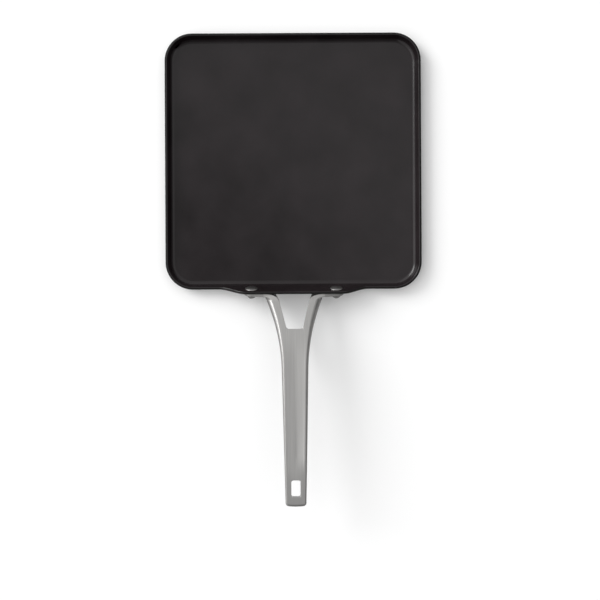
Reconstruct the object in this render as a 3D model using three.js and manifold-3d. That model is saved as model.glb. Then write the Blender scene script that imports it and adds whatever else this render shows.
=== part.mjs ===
// A square griddle pan: a pressed aluminium griddle with low flared walls and a raised pad on one
// wall, and a forked cast steel handle that two rivets hold to the pad.
//
// Millimetres, +Z up. The origin is the middle of the flat base, on the surface that the pan stands
// on. The handle reaches out along -Y. "Reach" is the plan distance from the origin along -Y.

import * as THREE from "three";
import { mergeVertices } from "three/addons/utils/BufferGeometryUtils.js";
import Module from "manifold-3d";

const wasm = await Module();
wasm.setup();

const { degToRad, lerp, smoothstep } = THREE.MathUtils;
const { sin, cos, tan, asin, sqrt, PI } = Math;

// Griddle body
const PAN_WIDTH = 280; // across the rim, both ways
const RIM_CORNER_RADIUS = 30; // in plan, outside the rim
const GAUGE = 3; // thickness of the pressed plate
const RIM_HEIGHT = 12.5;
const WALL_LEAN = degToRad(20); // from the vertical
const FLOOR_FILLET = 5; // inside, between the floor and the wall
const RIM_EDGE_RADIUS = 0.8; // on both edges of the rim

// Raised pad for the handle, on the wall at -Y
const PAD_WIDTH = 134; // between the middles of its two shoulders
const PAD_SHOULDER = 29; // length of each S-shaped shoulder
const PAD_HEIGHT = 27.5; // above the surface that the pan stands on

// Rivets
const RIVET_SPACING = 92.2;
const RIVET_DROP = 11.7; // from the top of the pad to the rivet, down the pad's outer face
const SHANK_DIAMETER = 6;
const INNER_HEAD_DIAMETER = 14;
const INNER_HEAD_DOME = 1.8;
const OUTER_HEAD_DIAMETER = 11;
const OUTER_HEAD_DOME = 4.6;

// Fits
const SEAT_GAP = 0.3; // between faces that sit on each other
const SHANK_CLEARANCE = 0.3; // all round a shank in its hole

// Ears of the handle, flat against the pad
const EAR_THICKNESS = 3.5;
const EAR_END_RADIUS = 8.2; // round the rivet
const EAR_ROOT_HEIGHT = 20.4; // beside the arm
const EAR_EDGE_RADIUS = 0.8;
const ARM_TOP_OVER_RIVET = 9.4; // where the arm's top leaves the ear, up the pad from the rivet
const ARM_FILLET = 4; // in plan, between an arm's outer side and its ear
const HEEL_RADIUS = 8; // in plan, where an arm's inner side turns into the back of its ear

// Line of the handle's top, seen from the side: a straight rise, a bend and a slow arch
const RISE_ANGLE = degToRad(28);
const RISE_LENGTH = 18;
const BEND_RADIUS = 192;
const GRIP_ANGLE = degToRad(9.5); // where the bend meets the arch
const ARCH_RADIUS = 1040;
const HANDLE_REACH = 228.3; // from the rim to the tip

// Plan of the handle
const GRIP_WIDTH = 28.3; // where the flare of the fork begins
const TIP_WIDTH = 21.2;
const FORK_WIDTH = 61; // across both arms, at the ears
const FLARE_LENGTH = 75.2; // from the ears to where the flare ends
const GAP_MOUTH = 34.2; // between the arms, at the ears
const GAP_ROOT = 17; // between the arms, at the root of the fork
const GAP_DEPTH = 33.8; // from the ears to the root of the fork
const GAP_CORNER_RADIUS = 2.5;
const TIP_CORNER_RADIUS = 3.5;
const TIP_CROWN = 1; // of the slightly round end
const SLOT_WIDTH = 9.7;
const SLOT_LENGTH = 17.1;
const SLOT_TO_TIP = 10.4;
const SLOT_CORNER_RADIUS = 2;

// Section of the handle
const ARM_THICKNESS = 8;
const GRIP_THICKNESS = 9;
const TIP_THICKNESS = 7.5;
const SIDE_DEPTH = 4.6; // from the top down to the widest line
const ARM_SIDE_LEAN = degToRad(30); // of the sides from the vertical, at the ears
const TIP_SIDE_LEAN = degToRad(15);
const ARM_EDGE_RADIUS = 7; // between the top and the sides, at the ears
const GRIP_EDGE_RADIUS = 2.7; // the same, where the flare ends
const TIP_EDGE_RADIUS = 1.3; // the same, at the tip
const EDGE_SHARE = 0.95; // of the side's depth, that such an edge may take
const RAIL_WIDTH = 1.1; // flat edge beside the dish
const DISH_DEPTH = 0.8;
const DISH_FADE_IN = 60; // the dish deepens over this length after the root of the fork
const DISH_FADE_OUT = 5;
const DISH_TO_TIP = 3;
const BELLY_WIDTH = 6; // of the round lower corners
const BELLY_CROWN = 0.8; // of the underside between those corners
const END_FACE_RADIUS = 1.6; // top and bottom of the end face

// Facets of the round forms
const CORNER_STEPS = 9;
const FILLET_STEPS = 6;
const EDGE_STEPS = 3;
const SHOULDER_STEPS = 10;
const ROUND_STEPS = 32;
const DISH_STEPS = 5; // from the middle of the dish to its rail
const BELLY_STEPS = 3;
const RISE_STEPS = 4;
const BEND_STEPS = 10;
const ARCH_STEPS = 14;

// Finishes
const DARK_COATING = { color: 0x363334, roughness: 0.55, metalness: 0.3 };
const BRUSHED_STEEL = { color: 0xa9a7a4, roughness: 0.35, metalness: 1 };
const RIVET_STEEL = { color: 0xb4b2ae, roughness: 0.35, metalness: 1 };

// Places that follow from the sizes above
const CORE = PAN_WIDTH / 2 - RIM_CORNER_RADIUS; // corner centres, from the pan's centre lines
// The rim is cut square to the wall, and this is the flat of it between its two rounded edges
const RIM_FLAT = GAUGE - 2 * RIM_EDGE_RADIUS;
// What that cut and the rounded edge take off the rim's width, each side
const RIM_LOSS =
  RIM_FLAT * sin(WALL_LEAN) * tan(WALL_LEAN) + RIM_EDGE_RADIUS * (tan(WALL_LEAN) + 1 / cos(WALL_LEAN) - 1);
const outerWall = (z) => PAN_WIDTH / 2 + RIM_LOSS + (z - RIM_HEIGHT) * tan(WALL_LEAN);
const innerWall = (z) => outerWall(z) - GAUGE / cos(WALL_LEAN);
const RIVET_Z = PAD_HEIGHT - RIVET_DROP * cos(WALL_LEAN); // on the pad's outer face
const RIVET_REACH = outerWall(RIVET_Z);
const EAR_FRONT = SEAT_GAP + EAR_THICKNESS; // out from the pad's outer face
const TIP_REACH = PAN_WIDTH / 2 + HANDLE_REACH;

// The pad's outer face: X across, Y up the face, Z out of it, with its origin between the rivets.
const padFace = new THREE.Group();
padFace.position.set(0, -RIVET_REACH, RIVET_Z);
padFace.rotation.x = PI / 2 + WALL_LEAN;
padFace.updateMatrixWorld(true);

// Evenly spaced numbers from first to last, both included.
function steps(first, last, count) {
  return Array.from({ length: count + 1 }, (_, i) => lerp(first, last, i / count));
}

// A closed skin over a stack of rings that have the same number of points, with a cap at each end.
function loft(rings) {
  const count = rings[0].length;
  const points = rings.flat();
  const faces = [];
  for (let row = 0; row + 1 < rings.length; row++) {
    for (let i = 0; i < count; i++) {
      const a = row * count + i;
      const b = row * count + ((i + 1) % count);
      faces.push(a, b, b + count, a, b + count, a + count);
    }
  }
  const addCap = (ring, first, turned) => {
    const middle = new THREE.Vector3();
    ring.forEach((point) => middle.addScaledVector(point, 1 / count));
    const hub = points.push(middle) - 1;
    for (let i = 0; i < count; i++) {
      const a = first + i;
      const b = first + ((i + 1) % count);
      faces.push(hub, turned ? a : b, turned ? b : a);
    }
  };
  addCap(rings[0], 0, false);
  addCap(rings.at(-1), (rings.length - 1) * count, true);
  const geometry = new THREE.BufferGeometry().setFromPoints(points);
  geometry.setIndex(faces);
  return geometry;
}

// A closed geometry as a solid that can be joined and cut.
function solid(geometry) {
  const bare = geometry.clone();
  bare.deleteAttribute("normal");
  bare.deleteAttribute("uv");
  const merged = mergeVertices(bare);
  return new wasm.Manifold(
    new wasm.Mesh({
      numProp: 3,
      vertProperties: merged.attributes.position.array,
      triVerts: new Uint32Array(merged.index.array),
    }),
  );
}

// A solid back as a geometry.
function shape(body) {
  const mesh = body.getMesh();
  const geometry = new THREE.BufferGeometry();
  geometry.setAttribute("position", new THREE.BufferAttribute(mesh.vertProperties, 3));
  geometry.setIndex(new THREE.BufferAttribute(mesh.triVerts, 1));
  geometry.computeVertexNormals();
  return geometry;
}

function part(name, geometry, finish) {
  const mesh = new THREE.Mesh(geometry, new THREE.MeshStandardMaterial(finish));
  mesh.name = name;
  return mesh;
}

// A solid set on the pad's outer face, on the right, or turned half round to the left.
function onPad(geometry, side) {
  if (side < 0) geometry.rotateZ(PI);
  return solid(geometry.applyMatrix4(padFace.matrixWorld));
}

// A rivet hole, out through the pad and an ear.
function rivetHole(side) {
  const length = 2 * (GAUGE + EAR_FRONT);
  const radius = SHANK_DIAMETER / 2 + SHANK_CLEARANCE;
  const drill = new THREE.CylinderGeometry(radius, radius, length, ROUND_STEPS);
  drill.rotateX(PI / 2).translate(RIVET_SPACING / 2, 0, 0);
  return onPad(drill, side);
}

// Round the plan of the body: places on the square of corner centres, each with the direction in
// which the wall stands off from it, and the height of the rim there.
function planStations() {
  const stations = [];
  const padEnd = (PAD_WIDTH + PAD_SHOULDER) / 2;
  const rimAt = (x) => lerp(RIM_HEIGHT, PAD_HEIGHT, smoothstep(padEnd - Math.abs(x), 0, PAD_SHOULDER));
  for (let corner = 0; corner < 4; corner++) {
    const x = corner === 0 || corner === 3 ? CORE : -CORE;
    const y = corner < 2 ? CORE : -CORE;
    const start = (corner * PI) / 2;
    for (const angle of steps(start, start + PI / 2, CORNER_STEPS)) {
      stations.push({ x, y, angle, rim: RIM_HEIGHT });
    }
    if (corner === 2) {
      const shoulder = steps(padEnd, padEnd - PAD_SHOULDER, SHOULDER_STEPS);
      const across = [...shoulder.map((place) => -place), ...shoulder.toReversed()];
      across.forEach((place) => stations.push({ x: place, y, angle: (3 * PI) / 2, rim: rimAt(place) }));
    }
  }
  return stations;
}

// Section of the plate under a rim of the given height, as [distance from the centre line, height]:
// the base, the outer wall, the rounded rim, the inner wall and the floor.
function plateSection(rim) {
  const centreZ = GAUGE + FLOOR_FILLET;
  const outerFillet = FLOOR_FILLET + GAUGE;
  const filletEnd = PI / 2 - WALL_LEAN;
  const floorEnd = outerWall(centreZ - outerFillet * sin(WALL_LEAN)) - outerFillet * cos(WALL_LEAN);
  const fillet = (radius, from, to) =>
    steps(from, to, FILLET_STEPS).map((turn) => [
      floorEnd + radius * sin(turn),
      centreZ - radius * cos(turn),
    ]);
  const edge = (distance, z, from) =>
    steps(from, from + PI / 2, EDGE_STEPS).map((turn) => [
      distance + RIM_EDGE_RADIUS * cos(turn),
      z + RIM_EDGE_RADIUS * sin(turn),
    ]);
  const edgeZ = rim - RIM_EDGE_RADIUS;
  const innerEdge = innerWall(edgeZ) + RIM_EDGE_RADIUS / cos(WALL_LEAN);
  return [
    ...fillet(outerFillet, 0, filletEnd),
    ...edge(innerEdge + RIM_FLAT * cos(WALL_LEAN), edgeZ - RIM_FLAT * sin(WALL_LEAN), -WALL_LEAN),
    ...edge(innerEdge, edgeZ, PI / 2 - WALL_LEAN),
    ...fillet(FLOOR_FILLET, filletEnd, 0),
  ];
}

// The body: the plate section carried round the plan, with the rim raised along the pad.
function griddleBody() {
  const columns = planStations().map(({ x, y, angle, rim }) =>
    plateSection(rim).map(([distance, z]) => {
      const stand = distance - CORE;
      return new THREE.Vector3(x + stand * cos(angle), y + stand * sin(angle), z);
    }),
  );
  const rings = columns[0].map((_, row) => columns.map((column) => column[row]));
  const plate = solid(loft(rings));
  return shape(plate.subtract(rivetHole(-1)).subtract(rivetHole(1)));
}

// Where the handle's top line leaves the front of the ears, and where the line turns.
const EAR_TOP = {
  reach: RIVET_REACH + EAR_FRONT * cos(WALL_LEAN) + ARM_TOP_OVER_RIVET * sin(WALL_LEAN),
  z: RIVET_Z - EAR_FRONT * sin(WALL_LEAN) + ARM_TOP_OVER_RIVET * cos(WALL_LEAN),
};
const BEND_START = {
  reach: EAR_TOP.reach + RISE_LENGTH * cos(RISE_ANGLE),
  z: EAR_TOP.z + RISE_LENGTH * sin(RISE_ANGLE),
};
const ARCH_START = {
  reach: BEND_START.reach + BEND_RADIUS * (sin(RISE_ANGLE) - sin(GRIP_ANGLE)),
  z: BEND_START.z + BEND_RADIUS * (cos(GRIP_ANGLE) - cos(RISE_ANGLE)),
};
const GAP_ROOT_REACH = EAR_TOP.reach + GAP_DEPTH;
const FLARE_END = EAR_TOP.reach + FLARE_LENGTH;

// Height and slope of the top line at a reach.
function topLine(reach) {
  if (reach <= BEND_START.reach) {
    return { z: EAR_TOP.z + (reach - EAR_TOP.reach) * tan(RISE_ANGLE), slope: RISE_ANGLE };
  }
  const onBend = reach <= ARCH_START.reach;
  const start = onBend ? BEND_START : ARCH_START;
  const startSlope = onBend ? RISE_ANGLE : GRIP_ANGLE;
  const radius = onBend ? BEND_RADIUS : ARCH_RADIUS;
  const slope = asin(sin(startSlope) - (reach - start.reach) / radius);
  return { z: start.z + radius * (cos(slope) - cos(startSlope)), slope };
}

// A point of the handle: across, at a reach along the top line, and up square to that line.
function onHandle(across, reach, up) {
  const { z, slope } = topLine(reach);
  return new THREE.Vector3(across, -(reach - up * sin(slope)), z + up * cos(slope));
}

// Half the handle's width at its widest line: a slow taper, and the flare of the fork.
function halfWidth(reach) {
  const taper = (place) => lerp(GRIP_WIDTH, TIP_WIDTH, (place - FLARE_END) / (TIP_REACH - FLARE_END)) / 2;
  const flare = Math.max(0, (FLARE_END - reach) / FLARE_LENGTH) ** 2;
  return taper(reach) + flare * (FORK_WIDTH / 2 - taper(EAR_TOP.reach));
}

// A size of the section that changes from the arms to the grip, and on to the tip.
function alongHandle(reach, atArm, atGrip, atTip) {
  const toGrip = smoothstep(reach, EAR_TOP.reach, FLARE_END);
  const toTip = smoothstep(reach, FLARE_END, TIP_REACH);
  return lerp(lerp(atArm, atGrip, toGrip), atTip, toTip);
}

const thickness = (reach) => alongHandle(reach, ARM_THICKNESS, GRIP_THICKNESS, TIP_THICKNESS);

function dishDepth(reach) {
  const fadeIn = smoothstep(reach, GAP_ROOT_REACH, GAP_ROOT_REACH + DISH_FADE_IN);
  const dishEnd = TIP_REACH - DISH_TO_TIP;
  return DISH_DEPTH * fadeIn * (1 - smoothstep(reach, dishEnd - DISH_FADE_OUT, dishEnd));
}

// Right half of the handle's section, from the middle of the dish out over the rail, down the side
// and under the belly. A point is a share of the half width less an inset, at a height over the top.
function halfSection(reach) {
  const depth = dishDepth(reach);
  const thick = thickness(reach);
  const toTip = Math.max(0, (reach - EAR_TOP.reach) / (TIP_REACH - EAR_TOP.reach));
  const lean = lerp(ARM_SIDE_LEAN, TIP_SIDE_LEAN, toTip);
  const radius = Math.min(
    alongHandle(reach, ARM_EDGE_RADIUS, GRIP_EDGE_RADIUS, TIP_EDGE_RADIUS),
    (EDGE_SHARE * SIDE_DEPTH) / (1 - sin(lean)),
  );
  const sideTop = (SIDE_DEPTH - radius * (1 - sin(lean))) * tan(lean); // inset where the edge ends
  const edgeInset = sideTop + radius * cos(lean);
  const rail = edgeInset + RAIL_WIDTH;
  const bellyDrop = thick - SIDE_DEPTH - BELLY_CROWN;
  return [
    ...steps(0, 1, DISH_STEPS).map((share) => ({
      share,
      inset: rail,
      up: -depth * (1 - share * share),
    })),
    ...steps(0, PI / 2 - lean, FILLET_STEPS).map((turn) => ({
      share: 1,
      inset: edgeInset - radius * sin(turn),
      up: -radius * (1 - cos(turn)),
    })),
    ...steps(0, PI / 2, FILLET_STEPS).map((turn) => ({
      share: 1,
      inset: BELLY_WIDTH * (1 - cos(turn)),
      up: -SIDE_DEPTH - bellyDrop * sin(turn),
    })),
    ...steps(1, 0, BELLY_STEPS)
      .slice(1)
      .map((share) => ({ share, inset: BELLY_WIDTH, up: -thick + BELLY_CROWN * share * share })),
  ];
}

// The whole section, from its right half.
function fullSection(reach) {
  const right = halfSection(reach);
  const left = right.slice(1, -1).map((place) => ({ ...place, share: -place.share }));
  return [...right.toReversed(), ...left];
}

// Rings of the handle where the arms leave the ears. The first lie parallel to the pad, a set
// distance out from the front of the ears, and widen into the ears with the fillet's radius.
function rootRings() {
  const lean = RISE_ANGLE + WALL_LEAN; // between the top line and the way out from the pad
  const section = fullSection(EAR_TOP.reach);
  const reachOut = (out, up) => EAR_TOP.reach + ((out + up * sin(lean)) / cos(lean)) * cos(RISE_ANGLE);
  const spread = (out) => ARM_FILLET - sqrt(ARM_FILLET ** 2 - (ARM_FILLET - Math.max(out, 0)) ** 2);
  const outs = steps(0, PI / 2, FILLET_STEPS).map((turn) => ARM_FILLET * (1 - cos(turn)));
  const parallel = outs.map((out) =>
    section.map(({ share, inset, up }) => {
      const reach = reachOut(out, up);
      const half = halfWidth(reach) - inset;
      return onHandle(share * (half + spread(out)), reach, up);
    }),
  );
  const wayOut = new THREE.Vector3(0, 0, 1).transformDirection(padFace.matrixWorld);
  const insideEar = parallel[0].map((point) => point.clone().addScaledVector(wayOut, -EAR_THICKNESS / 2));
  const turning = steps(0, 1, RISE_STEPS).slice(1, -1);
  const swung = turning.map((share) =>
    section.map((place) => {
      const reach = lerp(reachOut(ARM_FILLET, place.up), BEND_START.reach, share);
      return onHandle(place.share * (halfWidth(reach) - place.inset), reach, place.up);
    }),
  );
  return [insideEar, ...parallel, ...swung];
}

// Rings of the bend and the grip, square to the top line, and of the rounded tip.
function gripRings() {
  const tipStart = TIP_REACH - TIP_CORNER_RADIUS;
  const along = [
    ...steps(BEND_START.reach, ARCH_START.reach, BEND_STEPS),
    ...steps(ARCH_START.reach, tipStart - DISH_FADE_OUT, ARCH_STEPS).slice(1),
  ].map((reach) => ({ reach, turn: 0 }));
  const round = steps(0, PI / 2, FILLET_STEPS).map((turn) => ({
    reach: tipStart + TIP_CORNER_RADIUS * sin(turn),
    turn,
  }));
  return [...along, ...round].map(({ reach, turn }) => {
    const thick = thickness(reach);
    const drawnIn = TIP_CORNER_RADIUS * (1 - cos(turn));
    const flattened = 1 - (2 * END_FACE_RADIUS * (1 - cos(turn))) / thick;
    const crown = TIP_CROWN * smoothstep(reach, tipStart - GRIP_WIDTH, TIP_REACH);
    return fullSection(reach).map(({ share, inset, up }) => {
      const across = share * (halfWidth(reach) - inset - drawnIn);
      const back = crown * (across / halfWidth(reach)) ** 2;
      return onHandle(across, reach - back, -thick / 2 + (up + thick / 2) * flattened);
    });
  });
}

// An ear: a plate on the pad with a round end about the rivet, and level edges above and below.
function ear(side) {
  const rivet = RIVET_SPACING / 2;
  const root = GAP_MOUTH / 2 - EAR_THICKNESS;
  const rootHalf = EAR_ROOT_HEIGHT / 2 - EAR_EDGE_RADIUS;
  const outline = new THREE.Shape();
  outline.moveTo(root, -rootHalf);
  outline.lineTo(FORK_WIDTH / 2, -rootHalf);
  outline.absarc(rivet, 0, EAR_END_RADIUS - EAR_EDGE_RADIUS, -PI / 2, PI / 2, false);
  outline.lineTo(FORK_WIDTH / 2, rootHalf);
  outline.lineTo(root, rootHalf);
  const plate = new THREE.ExtrudeGeometry(outline, {
    depth: EAR_THICKNESS - 2 * EAR_EDGE_RADIUS,
    bevelThickness: EAR_EDGE_RADIUS,
    bevelSize: EAR_EDGE_RADIUS,
    bevelSegments: EDGE_STEPS,
    curveSegments: ROUND_STEPS / 2,
  });
  // The front keeps its place up the pad, and what lies behind it comes down to its level.
  plate.translate(0, 0, EAR_EDGE_RADIUS - EAR_THICKNESS);
  plate.applyMatrix4(new THREE.Matrix4().makeShear(0, 0, 0, 0, 0, side * tan(WALL_LEAN)));
  plate.translate(0, 0, EAR_FRONT);
  return onPad(plate, side);
}

// What is cut from the foot of an arm to round its heel, all the way up the ear.
function heelCut(side) {
  const inner = GAP_MOUTH / 2;
  const outline = new THREE.Shape();
  outline.moveTo(inner - HEEL_RADIUS, SEAT_GAP - HEEL_RADIUS);
  outline.lineTo(inner + HEEL_RADIUS, SEAT_GAP - HEEL_RADIUS);
  outline.lineTo(inner + HEEL_RADIUS, SEAT_GAP);
  outline.absarc(inner + HEEL_RADIUS, SEAT_GAP + HEEL_RADIUS, HEEL_RADIUS, -PI / 2, -PI, true);
  outline.lineTo(inner - HEEL_RADIUS, SEAT_GAP + HEEL_RADIUS);
  const depth = 2 * EAR_ROOT_HEIGHT;
  const cut = new THREE.ExtrudeGeometry(outline, {
    depth,
    bevelEnabled: false,
    curveSegments: FILLET_STEPS,
  });
  cut.rotateX(PI / 2).translate(0, depth / 2, 0);
  return onPad(cut, side);
}

// A cut through the handle, square to its top line, with the given plan of [across, reach] points.
function cutThrough(plan) {
  const over = GRIP_THICKNESS;
  const under = -2 * GRIP_THICKNESS;
  return solid(loft([over, under].map((up) => plan.map(([x, reach]) => onHandle(x, reach, up)))));
}

// Plan of the gap between the arms: straight sides, and round corners at its root.
function forkGapPlan() {
  const mouthReach = PAN_WIDTH / 2 - GAP_DEPTH;
  const slant = (GAP_MOUTH - GAP_ROOT) / 2 / GAP_DEPTH;
  const turnEnd = PI / 2 - Math.atan(slant);
  const side = (reach) => GAP_ROOT / 2 + slant * (GAP_ROOT_REACH - reach);
  const cornerReach = GAP_ROOT_REACH - GAP_CORNER_RADIUS;
  const cornerAcross = side(cornerReach) - GAP_CORNER_RADIUS * sqrt(1 + slant * slant);
  const corner = steps(turnEnd, 0, FILLET_STEPS).map((turn) => [
    cornerAcross + GAP_CORNER_RADIUS * sin(turn),
    cornerReach + GAP_CORNER_RADIUS * cos(turn),
  ]);
  const right = [[side(mouthReach), mouthReach], ...corner];
  return [...right, ...right.toReversed().map(([x, reach]) => [-x, reach])];
}

// Plan of the hanging slot: a rectangle with round corners.
function slotPlan() {
  const outline = [];
  const middle = TIP_REACH - SLOT_TO_TIP - SLOT_LENGTH / 2;
  for (let corner = 0; corner < 4; corner++) {
    const x = (corner === 0 || corner === 3 ? 1 : -1) * (SLOT_WIDTH / 2 - SLOT_CORNER_RADIUS);
    const y = (corner < 2 ? 1 : -1) * (SLOT_LENGTH / 2 - SLOT_CORNER_RADIUS);
    const start = (corner * PI) / 2;
    for (const turn of steps(start, start + PI / 2, FILLET_STEPS)) {
      outline.push([x + SLOT_CORNER_RADIUS * cos(turn), middle + y + SLOT_CORNER_RADIUS * sin(turn)]);
    }
  }
  return outline;
}

// The handle: arms, bend, grip and tip in one loft, joined to the ears, with the gap and slot cut out.
function forkedHandle() {
  const bar = solid(loft([...rootRings(), ...gripRings()]));
  let handle = bar.subtract(cutThrough(slotPlan()));
  for (const side of [-1, 1]) handle = handle.add(ear(side));
  handle = handle.subtract(cutThrough(forkGapPlan()));
  for (const side of [-1, 1]) handle = handle.subtract(heelCut(side)).subtract(rivetHole(side));
  return shape(handle);
}

// Profile of a rivet head from its crown to its edge, as [radius, height over its flat side].
function dome(diameter, height) {
  const sphere = ((diameter / 2) ** 2 + height ** 2) / (2 * height);
  const halfAngle = asin(diameter / 2 / sphere);
  return steps(0, halfAngle, FILLET_STEPS).map((turn) => [
    sphere * sin(turn),
    height - sphere * (1 - cos(turn)),
  ]);
}

// A rivet, turned about the way out from the pad: a flat dome inside, a higher one outside.
function rivet(name, side) {
  const innerSeat = -GAUGE - SEAT_GAP;
  const outerSeat = EAR_FRONT + SEAT_GAP;
  const profile = [
    ...dome(INNER_HEAD_DIAMETER, INNER_HEAD_DOME).map(([radius, height]) => [radius, innerSeat - height]),
    [SHANK_DIAMETER / 2, innerSeat],
    [SHANK_DIAMETER / 2, outerSeat],
    ...dome(OUTER_HEAD_DIAMETER, OUTER_HEAD_DOME)
      .toReversed()
      .map(([radius, height]) => [radius, outerSeat + height]),
  ].map(([radius, out]) => new THREE.Vector2(radius, out));
  const geometry = new THREE.LatheGeometry(profile, ROUND_STEPS).rotateX(PI / 2);
  const mesh = part(name, geometry, RIVET_STEEL);
  mesh.position.x = (side * RIVET_SPACING) / 2;
  return mesh;
}

const pan = new THREE.Group();
pan.add(part("griddle_body", griddleBody(), DARK_COATING));
pan.add(part("handle", forkedHandle(), BRUSHED_STEEL));
padFace.add(rivet("rivet_left", -1), rivet("rivet_right", 1));
pan.add(padFace);

export default pan;
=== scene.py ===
"""Looks of a square griddle pan: a dark pressed tray and a forked steel handle that two rivets hold to it.

Sizes are in millimetres unless a name says otherwise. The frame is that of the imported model: +Z up,
the origin in the middle of the flat base, and the handle along -Y. "Reach" is the plan distance from
the origin along -Y.
"""

import logging
import math
from collections.abc import Mapping, Sequence
from dataclasses import dataclass, field
from enum import Enum

import bmesh
import bpy
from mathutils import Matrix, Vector


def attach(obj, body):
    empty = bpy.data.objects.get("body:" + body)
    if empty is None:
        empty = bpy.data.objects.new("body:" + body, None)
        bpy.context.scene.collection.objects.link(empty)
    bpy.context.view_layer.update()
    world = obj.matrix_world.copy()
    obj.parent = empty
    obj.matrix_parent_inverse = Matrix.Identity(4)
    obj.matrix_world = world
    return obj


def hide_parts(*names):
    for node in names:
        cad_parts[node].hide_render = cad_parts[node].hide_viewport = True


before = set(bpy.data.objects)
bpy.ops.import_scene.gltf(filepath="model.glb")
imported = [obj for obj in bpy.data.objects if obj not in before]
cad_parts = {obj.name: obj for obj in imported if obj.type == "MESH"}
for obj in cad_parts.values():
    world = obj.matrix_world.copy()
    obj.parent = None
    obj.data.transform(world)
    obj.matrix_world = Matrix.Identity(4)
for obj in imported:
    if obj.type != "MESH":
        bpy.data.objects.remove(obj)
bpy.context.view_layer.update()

log = logging.getLogger("griddle_pan")

MM = 0.001  # metres in a millimetre
WELD = 1e-4 * MM  # points closer than this become one
PHOTO_PX = 600  # width and height of the picture
BODY = "root"  # the one rigid body that every piece rides on

Colour = tuple[float, float, float]
Span = tuple[float, float]
Feed = bpy.types.NodeSocket | float | tuple[float, ...] | Vector  # what a socket takes

WHITE: Colour = (1.0, 1.0, 1.0)


class Side(Enum):
    """Left or right of the handle, seen by the person who holds it."""

    LEFT = -1
    RIGHT = 1


class TrayFace(Enum):
    """Faces of the tray, by the finish that they take."""

    INSIDE = 0
    OUTSIDE = 1


class HandleFace(Enum):
    """Faces of the handle, by the finish that they take."""

    TOP = 0
    EDGE = 1
    SIDE = 2
    UNDERSIDE = 3


class RivetFace(Enum):
    """Faces of a rivet, by the finish that they take."""

    INNER = 0
    OUTER = 1


def lerp(first: float, last: float, share: float) -> float:
    """A number that share of the way from first to last."""
    return first + (last - first) * share


def smoothstep(value: float, low: float, high: float) -> float:
    """0 below low, 1 above high, and a smooth rise between them."""
    share = min(max((value - low) / (high - low), 0.0), 1.0)
    return share * share * (3 - 2 * share)


def steps(first: float, last: float, count: int) -> list[float]:
    """Evenly spaced numbers from first to last, both included."""
    return [lerp(first, last, i / count) for i in range(count + 1)]


def rounding(depth: float, radius: float) -> float:
    """How far a rounded edge falls away.

    Args:
        depth: Distance in from the edge.
        radius: Radius of the rounding.

    Returns:
        The drop below the face that the edge belongs to.
    """
    if depth >= radius:
        return 0.0
    return radius - math.sqrt(radius**2 - (radius - max(depth, 0.0)) ** 2)


def cubic(points: Sequence[Vector], share: float) -> Vector:
    """A point on a curve with four handles.

    Args:
        points: The start, two points that pull the curve and the end, in a plane.
        share: How far along it is, from 0 to 1.

    Returns:
        The point.
    """
    rest = 1 - share
    weights = (rest**3, 3 * share * rest**2, 3 * share**2 * rest, share**3)
    return sum((point * weight for point, weight in zip(points, weights)), Vector((0, 0)))


class Skin:
    """A mesh under construction, in millimetres."""

    def __init__(self) -> None:
        """Start with no points."""
        self.points: list[Vector] = []
        self.faces: list[tuple[list[int], int]] = []

    def add(self, places: Sequence[Vector]) -> list[int]:
        """Add points.

        Args:
            places: Where they are.

        Returns:
            Their numbers.
        """
        first = len(self.points)
        self.points.extend(places)
        return list(range(first, len(self.points)))

    def face(self, corners: Sequence[int], kind: Enum) -> None:
        """Add one face of the given kind."""
        self.faces.append((list(corners), kind.value))

    def strip(self, row: Sequence[int], following: Sequence[int], kind: Enum) -> None:
        """Add the four-sided faces between two rows of as many points."""
        for i in range(len(row) - 1):
            self.face((row[i], row[i + 1], following[i + 1], following[i]), kind)

    def piece(
        self,
        name: str,
        finishes: Sequence[bpy.types.Material],
        mirrored: bool = False,
    ) -> bpy.types.Object:
        """Make an object of the mesh, with its points welded and its faces smooth.

        Args:
            name: Name of the object.
            finishes: Its materials, in the order of the face kinds.
            mirrored: Whether to add the mirror image in X.

        Returns:
            The object, in the scene.
        """
        mesh = bmesh.new()
        corners = [mesh.verts.new(place * MM) for place in self.points]
        for numbers, kind in self.faces:
            ring = [corners[number] for number in dict.fromkeys(numbers)]
            made = mesh.faces.new(ring)
            made.material_index = kind
            made.smooth = True
        bmesh.ops.remove_doubles(mesh, verts=mesh.verts, dist=WELD)
        bmesh.ops.dissolve_degenerate(mesh, edges=mesh.edges, dist=WELD)
        if mirrored:
            everything = [*mesh.verts, *mesh.edges, *mesh.faces]
            bmesh.ops.mirror(mesh, geom=everything, merge_dist=WELD, axis="X")
        bmesh.ops.recalc_face_normals(mesh, faces=mesh.faces)
        data = bpy.data.meshes.new(name)
        mesh.to_mesh(data)
        mesh.free()
        for finish in finishes:
            data.materials.append(finish)
        made_object = bpy.data.objects.new(name, data)
        bpy.context.scene.collection.objects.link(made_object)
        return made_object


def lay_grain(piece: bpy.types.Object) -> None:
    """Give a piece a map in plan, whose first way lies across the brushing of the handle.

    Args:
        piece: The piece.
    """
    data = piece.data
    layer = data.uv_layers.new(name=BrushedSteel.GRAIN_MAP)
    for corner in data.loops:
        place = data.vertices[corner.vertex_index].co
        layer.uv[corner.index].vector = (place.x, place.y)


def weigh_normals(piece: bpy.types.Object, sharp_from: float) -> None:
    """Shade a piece by its large faces, with true edges where it turns sharply.

    Args:
        piece: The piece.
        sharp_from: Smallest angle of a sharp edge.
    """
    piece.data.set_sharp_from_angle(angle=sharp_from)
    weigh = piece.modifiers.new("even_shading", "WEIGHTED_NORMAL")
    weigh.keep_sharp = True


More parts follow.
